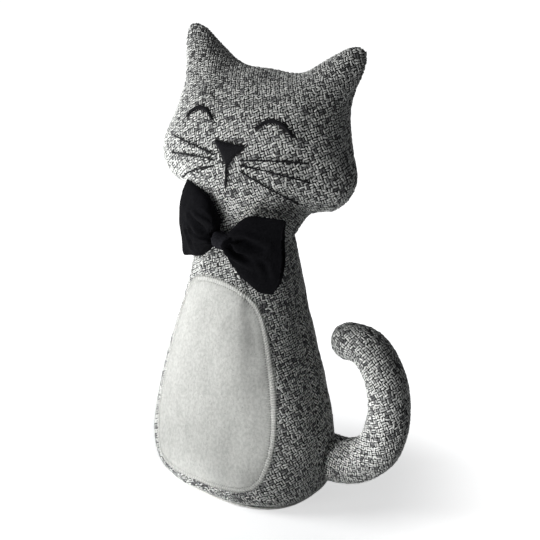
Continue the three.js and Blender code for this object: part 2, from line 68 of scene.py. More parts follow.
# Tweed: a basket weave of two yarns over two
YARN_PITCH = 1.62 * MM
WEAVE_ANGLE = math.radians(27)
FLOAT_HEIGHT, FLOAT_SUNK = 0.62 * MM, 0.12 * MM
FLOAT_HALF_LENGTH, FLOAT_HALF_WIDTH = 1.06, 0.43   # in yarn pitches
FLOAT_LENGTHS, FLOAT_WIDTHS, FLOAT_HEIGHTS = (0.82, 1.14), (0.84, 1.16), (0.7, 1.2)
FLOAT_TURN, FLOAT_DRIFT = 0.20, 0.08   # spread of its turn, and of its place in yarn pitches
FLOAT_STRETCH = (0.8, 1.2)   # least and most, where the flat cloth is squeezed or stretched
PANEL_SHIFT = 0.05   # a panel is cut up to this far from where its weave starts
PRESSED_SHARE, PRESSED_NEAR = 0.25, 0.6
YARN_TONE, PATCH_TONE, PATCH_WAVE = 0.10, 0.10, 9 * MM

# Felt patch
FELT_THICKNESS = 0.75 * MM
FELT_EDGE = 1.1 * MM
FELT_TUCK = 4.5 * MM   # how much nearer to the middle its edge on the cat's right lies
STITCH_PITCH, STITCH_REACH, STITCH_OVERHANG = 1.85 * MM, 3.4 * MM, 0.9 * MM
STITCH_RADIUS, STITCH_LEAN = 0.37 * MM, 0.12
POINTS_A_STITCH = 4   # of the felt's outline
NEEDLE_DEPTH, NEEDLE_WIDTH, PULL_BETWEEN = 0.7 * MM, 0.9 * MM, 0.05
FELT_SWELL, FELT_WAVE = 0.35 * MM, 13 * MM
FELT_RINGS = np.concatenate([   # distances from the felt's edge
    np.array([0, 0.12, 0.3, 0.6, 1.1, 1.7, 2.4]) * MM,
    STITCH_REACH + np.array([-0.45, 0, 0.45, 1.2]) * MM,
    np.linspace(7, 100, 30) * MM])

# Embroidery, in the head's frame, in millimetres: each for the cat's left, mirrored for the right
EYE_INNER, EYE_OUTER, EYE_TOP, EYE_LINE = (18.2, 13.9), (43.3, 12.2), 20.0, 2.1
NOSE_HALF_WIDTH, NOSE_TOP, NOSE_TIP = 11.5, 0.5, -15.1
NOSE_FLANK = (0.55, 0.42)   # shares of its half width and of its tip's depth
MOUTH_BOTTOM, MOUTH_LINE, MOUTH_WAVER = -30.1, 1.3, 1.0
WHISKER_LINE, WHISKER_BOW = 1.0, 0.8
WHISKER_STITCH, MOUTH_STITCH = 4.5, 5.2
SATIN_EYE, SATIN_NOSE = 0.30 * MM, 0.32 * MM
THREAD_LIFT = 0.85 * MM
WHISKERS = {
    "upper": ((11.0, -9.3), (54.8, -3.4)),
    "middle": ((11.0, -12.4), (56.8, -15.6)),
    "lower": ((10.9, -16.4), (48.4, -31.4)),
}

# Bow tie: folds as lines in the XZ plane, from the knot outwards, with depth and width
FOLD_STRENGTH, FOLD_FADE = 2.1, 0.75
RIDGE_SHARE, RIDGE_PLACE = 0.45, 2.1   # of the ridge beside each fold
BOW_CREASE, BOW_WAVE, BAND_PINCH = 0.5 * MM, 11 * MM, 0.4 * MM
KNOT_CREASE, KNOT_WAVE, KNOT_ROUND = 0.3 * MM, 5 * MM, 0.25 * MM
BOW_FOLDS = [
    ([(-1.0, 196.0), (-11.3, 200.6), (-21.7, 204.5)], 2.6, 2.6),
    ([(-1.0, 193.3), (-12.2, 191.2)], 1.5, 2.0),
    ([(-28.7, 191.3), (-21.2, 181.3)], 0.8, 2.2),
    ([(17.8, 195.4), (30.4, 197.9), (41.9, 195.4)], 3.0, 2.6),
    ([(17.9, 191.2), (26.9, 187.3), (32.8, 184.9)], 2.0, 2.0),
    ([(42.5, 182.8), (43.9, 171.8)], 0.6, 2.0),
]
BOW_CORNERS = [   # corner, how far it is pulled out, and how far round it the cloth follows
    ((-39.0, 171.5), (-3.2, -3.6), 6.5),
    ((-4.0, 205.0), (4.5, 1.0), 6.0),
    ((53.0, 216.0), (4.2, 1.0), 7.5),
    ((38.0, 161.0), (-4.6, -2.6), 8.0),
]

# Overlocked edge of the seam round the base
RIM_REACH, RIM_HEIGHT, RIM_RADIUS = 1.04, 1.1 * MM, 0.8 * MM

# View of the photograph
CAMERA_TURN, CAMERA_RISE, CAMERA_ROLL = 40.37, 18.64, 2.0
CAMERA_DISTANCE, CAMERA_LENS = 0.91942, 86.02
CAMERA_TARGET_HEIGHT, CAMERA_TARGET_SIDE = 0.16232, 0.01551

# Studio: the floor's own glow, which only the camera sees, grows from near the object outwards
FLOOR_COLOUR = (0.80, 0.81, 0.82)
FLOOR_GLOW = (0.10, 0.215, 0.62, 1.0)   # from and to these distances, from and to these strengths
AMBIENT, SURROUNDINGS = 0.10, (0.97, 0.985, 1.0, 1)
KEY_POWER, KEY_SIZE, KEY_PLACE = 13.6, 0.7, (-0.87, -0.85, 0.64)
BOUNCE_POWER, BOUNCE_SIZE, BOUNCE_PLACE = 8.0, 0.9, (-0.30, -0.52, 0.003)
# Narrow lamps: power, angle, place and aim
TAIL_SPOT = (35.0, 8.8, (-0.12, -0.90, 0.10), (0.119, 0.02, 0.066))
FOOT_SPOT = (10.0, 17.0, (-0.12, -0.33, 0.006), (-0.005, -0.05, -0.022))

scene = bpy.context.scene
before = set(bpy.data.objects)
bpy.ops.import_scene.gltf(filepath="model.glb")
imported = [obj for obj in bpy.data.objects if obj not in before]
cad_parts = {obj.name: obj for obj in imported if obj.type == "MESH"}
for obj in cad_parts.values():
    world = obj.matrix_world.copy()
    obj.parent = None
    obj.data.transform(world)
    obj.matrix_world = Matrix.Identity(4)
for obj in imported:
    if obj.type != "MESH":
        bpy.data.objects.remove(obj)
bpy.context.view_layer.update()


# Meshes

def put(name, data):
    """A new object in the scene."""
    made = bpy.data.objects.new(name, data)
    scene.collection.objects.link(made)
    return made


def add_piece(name, points, faces):
    mesh = bpy.data.meshes.new(name)
    mesh.from_pydata(np.asarray(points).tolist(), [], faces)
    mesh.update()
    mesh.shade_smooth()
    return put(name, mesh)


@contextmanager
def edited(piece):
    """A piece's mesh, open to change."""
    mesh = bmesh.new()
    mesh.from_mesh(piece.data)
    yield mesh
    mesh.to_mesh(piece.data)
    mesh.free()


def copy_node(node, name):
    """A copy of a CAD solid's mesh, with its corners joined."""
    piece = put(name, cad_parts[node].data.copy())
    piece.data.materials.clear()
    with edited(piece) as mesh:
        bmesh.ops.remove_doubles(mesh, verts=mesh.verts, dist=0.002 * MM)
    return piece


def settle(piece):
    """Turns a piece's modifiers into its mesh."""
    shaped = piece.evaluated_get(bpy.context.evaluated_depsgraph_get())
    mesh = bpy.data.meshes.new_from_object(shaped)
    piece.modifiers.clear()
    piece.data = mesh
    mesh.shade_smooth()


def values_of(items, name, width, kind=float):
    values = np.empty(len(items) * width, kind)
    items.foreach_get(name, values)
    return values.reshape(-1, width)


def points_of(piece):
    return values_of(piece.data.vertices, "co", 3)


def normals_of(piece):
    return values_of(piece.data.vertex_normals, "vector", 3)


def move_points(piece, points):
    piece.data.vertices.foreach_set("co", np.asarray(points).ravel())
    piece.data.update()


def push_out(piece, amount):
    """Moves each point along its normal by amount(point, normal)."""
    points, normals = points_of(piece), normals_of(piece)
    out = [amount(Vector(p), Vector(n)) for p, n in zip(points, normals)]
    move_points(piece, points + normals * np.array(out)[:, None])


def even_mesh(piece, voxel, smoothing):
    remesh = piece.modifiers.new("even", "REMESH")
    remesh.mode = "VOXEL"
    remesh.voxel_size = voxel
    settle(piece)
    smooth = piece.modifiers.new("smooth", "SMOOTH")
    smooth.factor, smooth.iterations = 0.5, smoothing
    settle(piece)


def blow_up(piece):
    """Inflates a closed skin as cloth, away from gravity."""
    cloth = piece.modifiers.new("cloth", "CLOTH")
    for name, value in CLOTH.items():
        setattr(cloth.settings, name, value)
    cloth.settings.effector_weights.gravity = 0
    cloth.point_cache.frame_start, cloth.point_cache.frame_end = 1, SIMULATED_FRAMES
    for step in range(1, SIMULATED_FRAMES + 1):
        scene.frame_set(step)
    settle(piece)
    scene.frame_set(1)


def hug(piece, node, sink=0.0, swell=0.0):
    """Moves each point along its normal until it lies from sink under to swell over the CAD
    node's surface, so that nothing of the form is lost by evening and subdividing the mesh."""
    surface = surface_of(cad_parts[node])
    held = []
    for p, n in zip(points_of(piece), normals_of(piece)):
        point, normal = Vector(p), Vector(n)
        hit = surface.ray_cast(point - normal * HUG_DEPTH, normal, HUG_REACH)[0]
        if hit is None:
            hit = surface.find_nearest(point)[0]
        held.append(hit + normal * min(swell, max(-sink, (point - hit).dot(normal))))
    move_points(piece, held)


def stuffed(node, name, voxel, swell):
    """A CAD solid's form as a stuffed skin, which stays within swell of that form."""
    piece = copy_node(node, name)
    even_mesh(piece, voxel, 3)
    hug(piece, node)
    move_points(piece, points_of(piece) - normals_of(piece) * SLACK)
    blow_up(piece)
    piece.modifiers.new("finer", "SUBSURF").levels = 1
    settle(piece)
    hug(piece, node, SINK, swell)
    return piece


def surface_of(piece):
    mesh = bmesh.new()
    mesh.from_mesh(piece.data)
    surface = BVHTree.FromBMesh(mesh)
    mesh.free()
    return surface


# Places on the body

HEAD = Matrix.Translation(HEAD_CENTRE)
for angle, axis in ((HEAD_TURN, "Z"), (HEAD_LEAN, "X"), (HEAD_ROLL, "Y")):
    HEAD = HEAD @ Matrix.Rotation(math.radians(angle), 4, axis)
HEAD_INVERSE = HEAD.inverted()


def on_head(point):
    """True for a point of the skin that belongs to the head, above the crease of the neck."""
    if point.z < CHEST_HEIGHT:
        return False
    share = (point.z - CHEST_HEIGHT) / (NECK_HEIGHT - CHEST_HEIGHT)
    half_width = CHEST_HALF_WIDTH + (NECK_HALF_WIDTH - CHEST_HALF_WIDTH) * share
    half_depth = CHEST_HALF_DEPTH + (NECK_HALF_DEPTH - CHEST_HALF_DEPTH) * share
    if half_width <= 0 or half_depth <= 0 or point.z > 1.12 * NECK_HEIGHT:
        return True
    return math.hypot(point.x / half_width, point.y / half_depth) > 1.1


def side_of(point):
    """Distance of a body point behind its side seam."""
    return (HEAD_INVERSE @ point).y if on_head(point) else point.y


def lumps(point, wave):
    return noise.noise(point / wave) + 0.5 * noise.noise(point * 2.1 / wave)


def seam_groove(distance, point):
    """How far a skin sinks at a seam that pulls its edges in."""
    near = math.exp(-(distance / SEAM_WIDTH) ** 2)
    wide = math.exp(-(distance / (4 * SEAM_WIDTH)) ** 2)
    pucker = noise.noise(point / PUCKER_WAVE * 1.0392305)
    return -SEAM_DEPTH * near - PUCKER_DEPTH * wide * (1 + pucker)


# Tweed

def label_faces(piece, label):
    """Panel number of each face, by its centre and normal."""
    return np.array([label(face.center, face.normal) for face in piece.data.polygons])


def unwrap(piece, labels, method):
    """Flattens the panels that the labels give, and returns each corner's place in the flat cloth."""
    with edited(piece) as mesh:
        for edge in mesh.edges:
            if len({labels[face.index] for face in edge.link_faces}) > 1:
                edge.seam = True
    if not piece.data.uv_layers:
        piece.data.uv_layers.new(name="cloth")
    bpy.context.view_layer.objects.active = piece
    piece.select_set(True)
    bpy.ops.object.mode_set(mode="EDIT")
    bpy.ops.mesh.select_all(action="SELECT")
    bpy.ops.uv.unwrap(method=method, margin=0.01)
    bpy.ops.object.mode_set(mode="OBJECT")
    piece.select_set(False)
    flat = values_of(piece.data.uv_layers[0].data, "uv", 2)
    while piece.data.uv_layers:
        piece.data.uv_layers.remove(piece.data.uv_layers[0])
    return flat


def triangles_of(piece):
    """Loops and points of each triangle of a mesh, and the face that it is part of."""
    piece.data.calc_loop_triangles()
    loops, corners, faces = (values_of(piece.data.loop_triangles, name, width, np.int32)
                             for name, width in (("loops", 3), ("vertices", 3), ("polygon_index", 1)))
    return loops, corners, faces.ravel()


def cross2(a, b):
    return a[..., 0] * b[..., 1] - a[..., 1] * b[..., 0]


def rotation(angle):
    return np.array([[math.cos(angle), math.sin(angle)], [-math.sin(angle), math.cos(angle)]])


def slopes(along, other, flat_along, flat_other):
    """dP/du and dP/dv of triangles, from two sides of each in space and in the flat cloth."""
    size = cross2(flat_along, flat_other)
    size = np.where(np.abs(size) < 1e-12, 1e-12, size)[:, None]
    return ((along * flat_other[:, 1:2] - other * flat_along[:, 1:2]) / size,
            (other * flat_along[:, 0:1] - along * flat_other[:, 0:1]) / size)


def level_panel(points, flat):
    """Turns and scales one flat panel so that it has its real size and its grain is upright.
    points and flat are the corners of its triangles. Returns the corners, and dP/du and dP/dv."""
    along, other = points[:, 1] - points[:, 0], points[:, 2] - points[:, 0]
    flat_along, flat_other = flat[:, 1] - flat[:, 0], flat[:, 2] - flat[:, 0]
    area = norm(np.cross(along, other), axis=1)
    flat_area = np.abs(cross2(flat_along, flat_other))
    scale = math.sqrt(area.sum() / flat_area.sum())
    for _ in range(2):
        du, dv = slopes(along, other, flat_along, flat_other)
        rise = np.array([(du[:, 2] * flat_area).sum(), (dv[:, 2] * flat_area).sum()])
        turn = math.pi / 2 - math.atan2(rise[1], rise[0])
        rotate = scale * rotation(turn)
        flat, flat_along, flat_other = flat @ rotate, flat_along @ rotate, flat_other @ rotate
        flat_area = flat_area * scale ** 2
        scale = 1.0
    return (flat, *slopes(along, other, flat_along, flat_other))


def smooth_over(corners, values, count):
    """Averages one value per triangle at the points, and gives it back at the corners."""
    total, uses = np.zeros((count, 3)), np.zeros(count)
    for k in range(3):
        np.add.at(total, corners[:, k], values)
        np.add.at(uses, corners[:, k], 1)
    return (total / np.maximum(uses, 1)[:, None])[corners]


def float_places(flat):
    """Centres of the basket weave's floats that fall in each flat triangle.
    Returns the triangle, its shares, the place in the weave and whether the float is a warp one."""
    grid = flat @ rotation(-WEAVE_ANGLE) / YARN_PITCH
    first = np.floor(grid.min(axis=1) / 2).astype(int) - 1
    last = np.floor(grid.max(axis=1) / 2).astype(int) + 1
    reach = int((last - first).max()) + 1
    found = []
    base, a, b = grid[:, 0], grid[:, 1] - grid[:, 0], grid[:, 2] - grid[:, 0]
    size = cross2(a, b)
    size = np.where(np.abs(size) < 1e-9, 1e-9, size)
    for i in range(reach):
        for j in range(reach):
            block = first + np.array([i, j])
            warp = (block.sum(axis=1) % 2) == 1
            for side in (0.5, 1.5):
                shift = np.where(warp[:, None], [[side, 1.0]], [[1.0, side]])
                centre = 2 * block + shift
                offset = centre - base
                s, t = cross2(offset, b) / size, cross2(a, offset) / size
                inside = np.flatnonzero((s >= 0) & (t >= 0) & (s + t < 1))
                shares = np.stack([1 - s - t, s, t], axis=1)[inside]
                found.append((inside, shares, centre[inside], warp[inside]))
    return [np.concatenate(part) for part in zip(*found)]


def scattered(number):
    """A share from 0 to 1 that looks random and is always the same for a number."""
    return np.modf(np.abs(np.sin(number * 12.9898) * 43758.5453))[0]


def tone_of(centre, warp, points, random):
    """Evenly spread tone of each float, partly its yarn's own, partly in patches."""
    yarn = np.where(warp, np.floor(centre[:, 0]) * 2 + 1, np.floor(centre[:, 1]) * 2)
    patch = np.array([noise.noise(Vector(p) / PATCH_WAVE) for p in points])
    raw = random.random(len(centre)) + YARN_TONE * scattered(yarn) + PATCH_TONE * patch
    order = np.empty(len(raw))
    order[np.argsort(raw)] = np.arange(len(raw)) / max(len(raw), 1)
    return order


def evened(vectors):
    """Keeps the floats' size near its own where the flat cloth is stretched or squeezed."""
    length = norm(vectors, axis=1, keepdims=True)
    return vectors * np.clip(length, *FLOAT_STRETCH) / np.maximum(length, 1e-9)


def float_form():
    """One float as rows of along, across and height shares, and its faces."""
    rows, faces = [(-1.0, 0.0, 0.0)], []
    for s, w, h in ((-0.66, 0.84, 0.82), (0.0, 1.0, 1.0), (0.66, 0.84, 0.82)):
        rows += [(s, -w, 0.0), (s, 0.0, h), (s, w, 0.0)]
    rows.append((1.0, 0.0, 0.0))
    for k in (1, 2):
        faces.append((0, k + 1, k))
        faces.append((10, 6 + k, 7 + k))
        for start in (0, 3):
            low, high = start + k, start + k + 3
            faces.append((low, low + 1, high + 1, high))
    return np.array(rows), faces


FLOAT_ROWS, FLOAT_FACES = float_form()


def press_of(places, pressed):
    """Share of its height that a float keeps where stitches hold the cloth down."""
    if not pressed:
        return np.ones(len(places))
    tree = KDTree(len(pressed))
    for index, (place, _) in enumerate(pressed):
        tree.insert(place, index)
    tree.balance()
    kept = []
    for place in places:
        _, index, distance = tree.find(place)
        kept.append(min(1.0, max(PRESSED_SHARE, distance / pressed[index][1] - PRESSED_NEAR)))
    return np.array(kept)


def grain_of(corners, du, dv, count):
    """Ways of the weft and of the warp at the corners of a panel's triangles."""
    x, y = math.cos(WEAVE_ANGLE), math.sin(WEAVE_ANGLE)
    return [smooth_over(corners, way, count) for way in (du * x + dv * y, -du * y + dv * x)]


def panel_floats(points, normals, corners, flat, random, pressed):
    """Points and yarn values of the floats on one panel, given the corners of its triangles."""
    flat, du, dv = level_panel(points[corners], flat)
    flat = flat + random.random(2) * PANEL_SHIFT
    weft_way, warp_way = grain_of(corners, du, dv, len(points))
    where, shares, centre, warp = float_places(flat)

    def mix(values):
        return (values[where] * shares[:, :, None]).sum(axis=1)

    place, up = mix(points[corners]), mix(normals[corners])
    up /= norm(up, axis=1, keepdims=True)
    weft_vector, warp_vector = evened(mix(weft_way)), evened(mix(warp_way))
    along = np.where(warp[:, None], warp_vector, weft_vector)
    across = np.where(warp[:, None], -weft_vector, warp_vector)
    count = len(place)
    turn = random.normal(0, FLOAT_TURN, count)[:, None]
    along, across = along + across * turn, across - along * turn
    length = YARN_PITCH * FLOAT_HALF_LENGTH * random.uniform(*FLOAT_LENGTHS, count)
    width = YARN_PITCH * FLOAT_HALF_WIDTH * random.uniform(*FLOAT_WIDTHS, count)
    height = FLOAT_HEIGHT * random.uniform(*FLOAT_HEIGHTS, count) * press_of(place, pressed)
    place = place + along * random.normal(0, FLOAT_DRIFT * YARN_PITCH, count)[:, None]
    form = (place[:, None, :]
            + along[:, None, :] * (length[:, None] * FLOAT_ROWS[:, 0])[:, :, None]
            + across[:, None, :] * (width[:, None] * FLOAT_ROWS[:, 1])[:, :, None]
            + up[:, None, :] * (height[:, None] * FLOAT_ROWS[:, 2] - FLOAT_SUNK)[:, :, None])
    tone = tone_of(centre, warp, place, random)
    yarn = np.empty((count, len(FLOAT_ROWS), 3))
    yarn[:, :, 0] = length[:, None] * FLOAT_ROWS[:, 0] / MM + random.random(count)[:, None]
    yarn[:, :, 1] = width[:, None] * FLOAT_ROWS[:, 1] / MM
    yarn[:, :, 2] = tone[:, None]
    return form.reshape(-1, 3), yarn.reshape(-1, 3)


def weave(name, piece, labels, panels, seed, material, pressed=(), method="ANGLE_BASED"):
    """The yarns that show on the panels of a skin, each as a float of its own on the surface."""
    flat = unwrap(piece, labels, method)
    loops, corners, faces = triangles_of(piece)
    points, normals = points_of(piece), normals_of(piece)
    random = np.random.default_rng(seed)
    found = []
    for panel in panels:
        chosen = np.flatnonzero(labels[faces] == panel)
        found.append(panel_floats(points, normals, corners[chosen], flat[loops[chosen]],
                                  random, pressed))
    every_point, every_yarn = (np.concatenate(part) for part in zip(*found))
    starts = range(0, len(every_point), len(FLOAT_ROWS))
    woven = add_piece(name, every_point, [tuple(start + i for i in face)
                                          for start in starts for face in FLOAT_FACES])
    vectors = woven.data.attributes.new("yarn", "FLOAT_VECTOR", "POINT")
    vectors.data.foreach_set("vector", np.asarray(every_yarn, np.float32).ravel())
    dress(woven, material, "tweed")


# Threads

def ring_faces(rings, sides):
    """Faces between closed rings of points that follow one another."""
    faces = []
    for i in range(rings - 1):
        for k in range(sides):
            n = (k + 1) % sides
            faces.append((i * sides + k, i * sides + n, (i + 1) * sides + n, (i + 1) * sides + k))
    return faces


def tube(line, radius, sides=6, ups=None):
    """Points and faces of a closed thread along a line, with a radius at each point."""
    line = np.asarray(line)
    radius = np.broadcast_to(radius, len(line))
    ways = np.gradient(line, axis=0)
    ways /= norm(ways, axis=1, keepdims=True) + 1e-12
    up = np.array([0, -1.0, 0.2]) if ups is None else np.asarray(ups)
    out = np.cross(ways, up)
    out /= norm(out, axis=1, keepdims=True) + 1e-12
    other = np.cross(out, ways)
    turns = np.arange(sides) * 2 * math.pi / sides
    ring = (out[:, None] * np.cos(turns)[:, None] + other[:, None] * np.sin(turns)[:, None])
    points = (line[:, None] + ring * radius[:, None, None]).reshape(-1, 3)
    points = np.concatenate([points, line[:1], line[-1:]])
    rings = len(line)
    faces = ring_faces(rings, sides)
    for k in range(sides):
        n = (k + 1) % sides
        faces.append((rings * sides, n, k))
        faces.append((rings * sides + 1, (rings - 1) * sides + k, (rings - 1) * sides + n))
    return points, faces


def join_threads(name, threads):
    """One piece of many threads, each given as points and faces."""
    points, faces, start = [], [], 0
    for thread_points, thread_faces in threads:
        points.append(thread_points)
        faces += [tuple(start + i for i in face) for face in thread_faces]
        start += len(thread_points)
    piece = add_piece(name, np.concatenate(points), faces)
    with edited(piece) as mesh:
        bmesh.ops.recalc_face_normals(mesh, faces=mesh.faces)
    return piece


def curve_points(start, control, end, count):
    t = np.linspace(0, 1, count)[:, None]
    start, control, end = (np.array(p, float) for p in (start, control, end))
    return start * (1 - t) ** 2 + 2 * control * t * (1 - t) + end * t ** 2


class FaceSurface:
    """Finds points of the tweed in front of places that are given in the head's frame."""

    def __init__(self, skin):
        self.surface = skin
        self.way = (HEAD.to_3x3() @ Vector((0, 1, 0))).normalized()

    def at(self, x, z, lift):
        start = HEAD @ Vector((x * MM, -0.12, z * MM))
        hit, normal, _, _ = self.surface.ray_cast(start, self.way)
        if normal.dot(self.way) > 0:
            normal = -normal
        return np.array(hit + normal * lift)

    def line(self, places, lift):
        return np.array([self.at(x, z, h) for (x, z), h in zip(places, lift)])

    def stitched_places(self):
        """Places that the embroidery covers, each with how far around it the cloth sinks."""
        lines = []
        for sign in (1, -1):
            lines.append((eye_line(32) * (sign, 1), EYE_LINE))
            lines += [(whisker_line(ends, 48) * (sign, 1), 0.6) for ends in WHISKERS.values()]
        lines.append((mouth_line(16), 0.9))
        lines += [(np.linspace(*rung, 9), 1.6) for rung in nose_rungs(16)]
        return [(Vector(self.at(x, z, 0.0)), size * MM) for places, size in lines for x, z in places]


def eye_line(count):
    """The cat's left eye, as a lid that is closed in a smile."""
    control = ((EYE_INNER[0] + EYE_OUTER[0]) / 2, 2 * EYE_TOP - (EYE_INNER[1] + EYE_OUTER[1]) / 2)
    return curve_points(EYE_INNER, control, EYE_OUTER, count)


def whisker_line(ends, count):
    inner, outer = ends
    control = ((inner[0] + outer[0]) / 2, (inner[1] + outer[1]) / 2 + 2 * WHISKER_BOW)
    return curve_points(inner, control, outer, count)


def mouth_line(count):
    return curve_points((0, NOSE_TIP), (MOUTH_WAVER, (NOSE_TIP + MOUTH_BOTTOM) / 2),
                        (0, MOUTH_BOTTOM), count)


def nose_rungs(count):
    """Upright lines side by side that fill the nose's triangle."""
    rungs = []
    for x in np.linspace(-NOSE_HALF_WIDTH, NOSE_HALF_WIDTH, count):
        share = abs(x) / NOSE_HALF_WIDTH
        flank = (NOSE_TIP, NOSE_TIP * NOSE_FLANK[1], NOSE_TOP - 1)
        rungs.append(((x, np.interp(share, (0, NOSE_FLANK[0], 1), flank)), (x, NOSE_TOP)))
    return rungs


# Shader nodes

class Shader:
    """Builds a node material with short calls, or adds to a tree that is given."""

    def __init__(self, name, tree=None):
        if tree is None:
            self.material = bpy.data.materials.new(name)
            self.material.use_nodes = True
            tree = self.material.node_tree
            self.bsdf = tree.nodes["Principled BSDF"]
        self.tree = tree

    def give(self, node, **values):
        """Sets a node's own settings, or its inputs where it has no setting of that name."""
        for key, value in values.items():
            if hasattr(node, key):
                setattr(node, key, value)
            else:
                node.inputs[key.replace("_", " ")].default_value = value
        return node

    def node(self, kind, **values):
        return self.give(self.tree.nodes.new("ShaderNode" + kind), **values)

    def link(self, output, node, socket):
        self.tree.links.new(output, node.inputs[socket])

    def place(self):
        return self.node("TexCoord").outputs["Object"]

    def noise(self, scale, detail=3.0, vector=None, roughness=0.5):
        made = self.node("TexNoise", Scale=scale, Detail=detail, Roughness=roughness)
        self.link(self.place() if vector is None else vector, made, "Vector")
        return made.outputs["Fac"]

    def ramp(self, value, stops, smooth=False):
        made = self.node("ValToRGB")
        ramp = made.color_ramp
        ramp.interpolation = "EASE" if smooth else "LINEAR"
        while len(ramp.elements) < len(stops):
            ramp.elements.new(0.5)
        for element, (position, colour) in zip(ramp.elements, stops):
            element.position = position
            element.color = (*colour, 1) if hasattr(colour, "__len__") else (colour,) * 3 + (1,)
        self.link(value, made, "Fac")
        return made.outputs["Color"]

    def tones(self, scale, low, dark, high, light):
        """Noise of a scale, dark up to a low value and light from a high one."""
        return self.ramp(self.noise(scale), [(low, dark), (high, light)])

    def math(self, operation, a, b):
        made = self.node("Math", operation=operation)
        for index, value in enumerate((a, b)):
            if isinstance(value, (int, float)):
                made.inputs[index].default_value = value
            else:
                self.tree.links.new(value, made.inputs[index])
        return made.outputs[0]

    def stretched(self, scale):
        made = self.node("Mapping", Scale=scale)
        self.link(self.place(), made, "Vector")
        return made.outputs["Vector"]

    def mixed(self, mode, share, a, b):
        made = self.node("Mix", data_type="RGBA", blend_type=mode)
        made.inputs[0].default_value = share
        for socket, value in ((made.inputs[6], a), (made.inputs[7], b)):
            if isinstance(value, tuple):
                socket.default_value = (*value, 1)
            else:
                self.tree.links.new(value, socket)
        return made.outputs[2]

    def crossed_bands(self, axes, **values):
        """Two sets of bands multiplied, as the threads of a plain weave."""
        place = self.place()
        bands = []
        for axis in axes:
            wave = self.node("TexWave", bands_direction=axis, **values)
            self.link(place, wave, "Vector")
            bands.append(wave.outputs["Fac"])
        return self.math("MULTIPLY", *bands)

    def bump(self, height, distance, strength=1.0, after=None):
        made = self.node("Bump", Distance=distance, Strength=strength)
        self.link(height, made, "Height")
        if after is not None:
            self.link(after, made, "Normal")
        return made.outputs["Normal"]

    def finish(self, colour, normal, roughness, sheen=0.0, specular=0.3):
        self.link(colour, self.bsdf, "Base Color")
        self.link(normal, self.bsdf, "Normal")
        if isinstance(roughness, (int, float)):
            self.bsdf.inputs["Roughness"].default_value = roughness
        else:
            self.link(roughness, self.bsdf, "Roughness")
        self.give(self.bsdf, Sheen_Weight=sheen, Sheen_Roughness=0.6, Specular_IOR_Level=specular)
        return self.material


def tweed_yarn_material():
    shader = Shader("tweed_yarn")
    yarn = shader.node("Attribute", attribute_name="yarn").outputs["Vector"]
    parts = shader.node("SeparateXYZ")
    shader.link(yarn, parts, "Vector")
    along, across, tone = parts.outputs
    colour = shader.ramp(tone, [
        (0.0, (0.10, 0.102, 0.104)), (0.07, (0.17, 0.172, 0.174)),
        (0.15, (0.40, 0.405, 0.40)), (0.30, (0.60, 0.61, 0.595)),
        (0.62, (0.77, 0.78, 0.755)), (1.0, (0.92, 0.93, 0.90))])
    twist = shader.math("SINE", shader.math("ADD", shader.math("MULTIPLY", along, 7.5),
                                            shader.math("MULTIPLY", across, 6.0)), 0)
    ply = shader.ramp(shader.math("MULTIPLY_ADD", twist, 0.5), [(0.0, 0.72), (0.6, 1.0)])
    fibre = shader.ramp(shader.noise(2600, 4), [(0.3, 0.7), (0.7, 1.15)])
    colour = shader.mixed("MULTIPLY", 0.8, colour, ply)
    colour = shader.mixed("MULTIPLY", 0.9, colour, fibre)
    coarse = shader.bump(twist, 0.07 * MM)
    fine = shader.bump(shader.noise(3200, 4), 0.12 * MM, 0.8, coarse)
    return shader.finish(colour, fine, 0.92, sheen=0.12, specular=0.18)


def tweed_shade_ground_material():
    shader = Shader("tweed_ground_painted_shade")
    # Near-black cloth under and between the floats: painted shade in the gaps of the weave, where the
    # yarns below lie in shadow.
    colour = shader.tones(1400, 0.35, (0.009, 0.009, 0.010), 0.7, (0.038, 0.038, 0.037))
    normal = shader.bump(shader.noise(1100), 0.4 * MM)
    return shader.finish(colour, normal, 0.95, sheen=0.05, specular=0.1)


def felt_material():
    shader = Shader("felted_cloth")
    cloud = shader.ramp(shader.noise(60, 3), [(0.35, (0.485, 0.49, 0.467)),
                                              (0.65, (0.520, 0.525, 0.500))], True)
    upright = shader.ramp(shader.noise(240, 3, shader.stretched((1.0, 1.0, 0.12))),
                          [(0.35, 0.90), (0.65, 1.04)])
    grain = shader.ramp(shader.noise(620, 3, shader.stretched((1.0, 1.0, 0.7))),
                        [(0.36, 0.80), (0.62, 1.08)])
    specks = shader.ramp(shader.noise(1100, 2), [(0.30, 0.45), (0.38, 1.0)])
    colour = shader.mixed("MULTIPLY", 0.5, cloud, upright)
    colour = shader.mixed("MULTIPLY", 0.75, colour, grain)
    colour = shader.mixed("MULTIPLY", 0.5, colour, specks)
    # Near black at each needle hole: painted shade in the hole.
    hole_shade = shader.node("Attribute", attribute_name="needle").outputs["Fac"]
    colour = shader.mixed("MULTIPLY", 1.0, colour, shader.ramp(hole_shade, [(0.15, 1.0), (0.8, 0.05)]))
    nap = shader.bump(shader.noise(380, 5), 0.25 * MM, 0.5)
    fuzz = shader.bump(shader.noise(1900, 5), 0.22 * MM, 0.7, nap)
    return shader.finish(colour, fuzz, 0.97, sheen=0.12, specular=0.08)


def stitch_material():
    shader = Shader("overcast_thread")
    colour = shader.tones(900, 0.3, (0.64, 0.64, 0.61), 0.7, (0.80, 0.80, 0.77))
    normal = shader.bump(shader.noise(2400), 0.15 * MM, 0.7)
    return shader.finish(colour, normal, 0.85, sheen=0.2, specular=0.2)


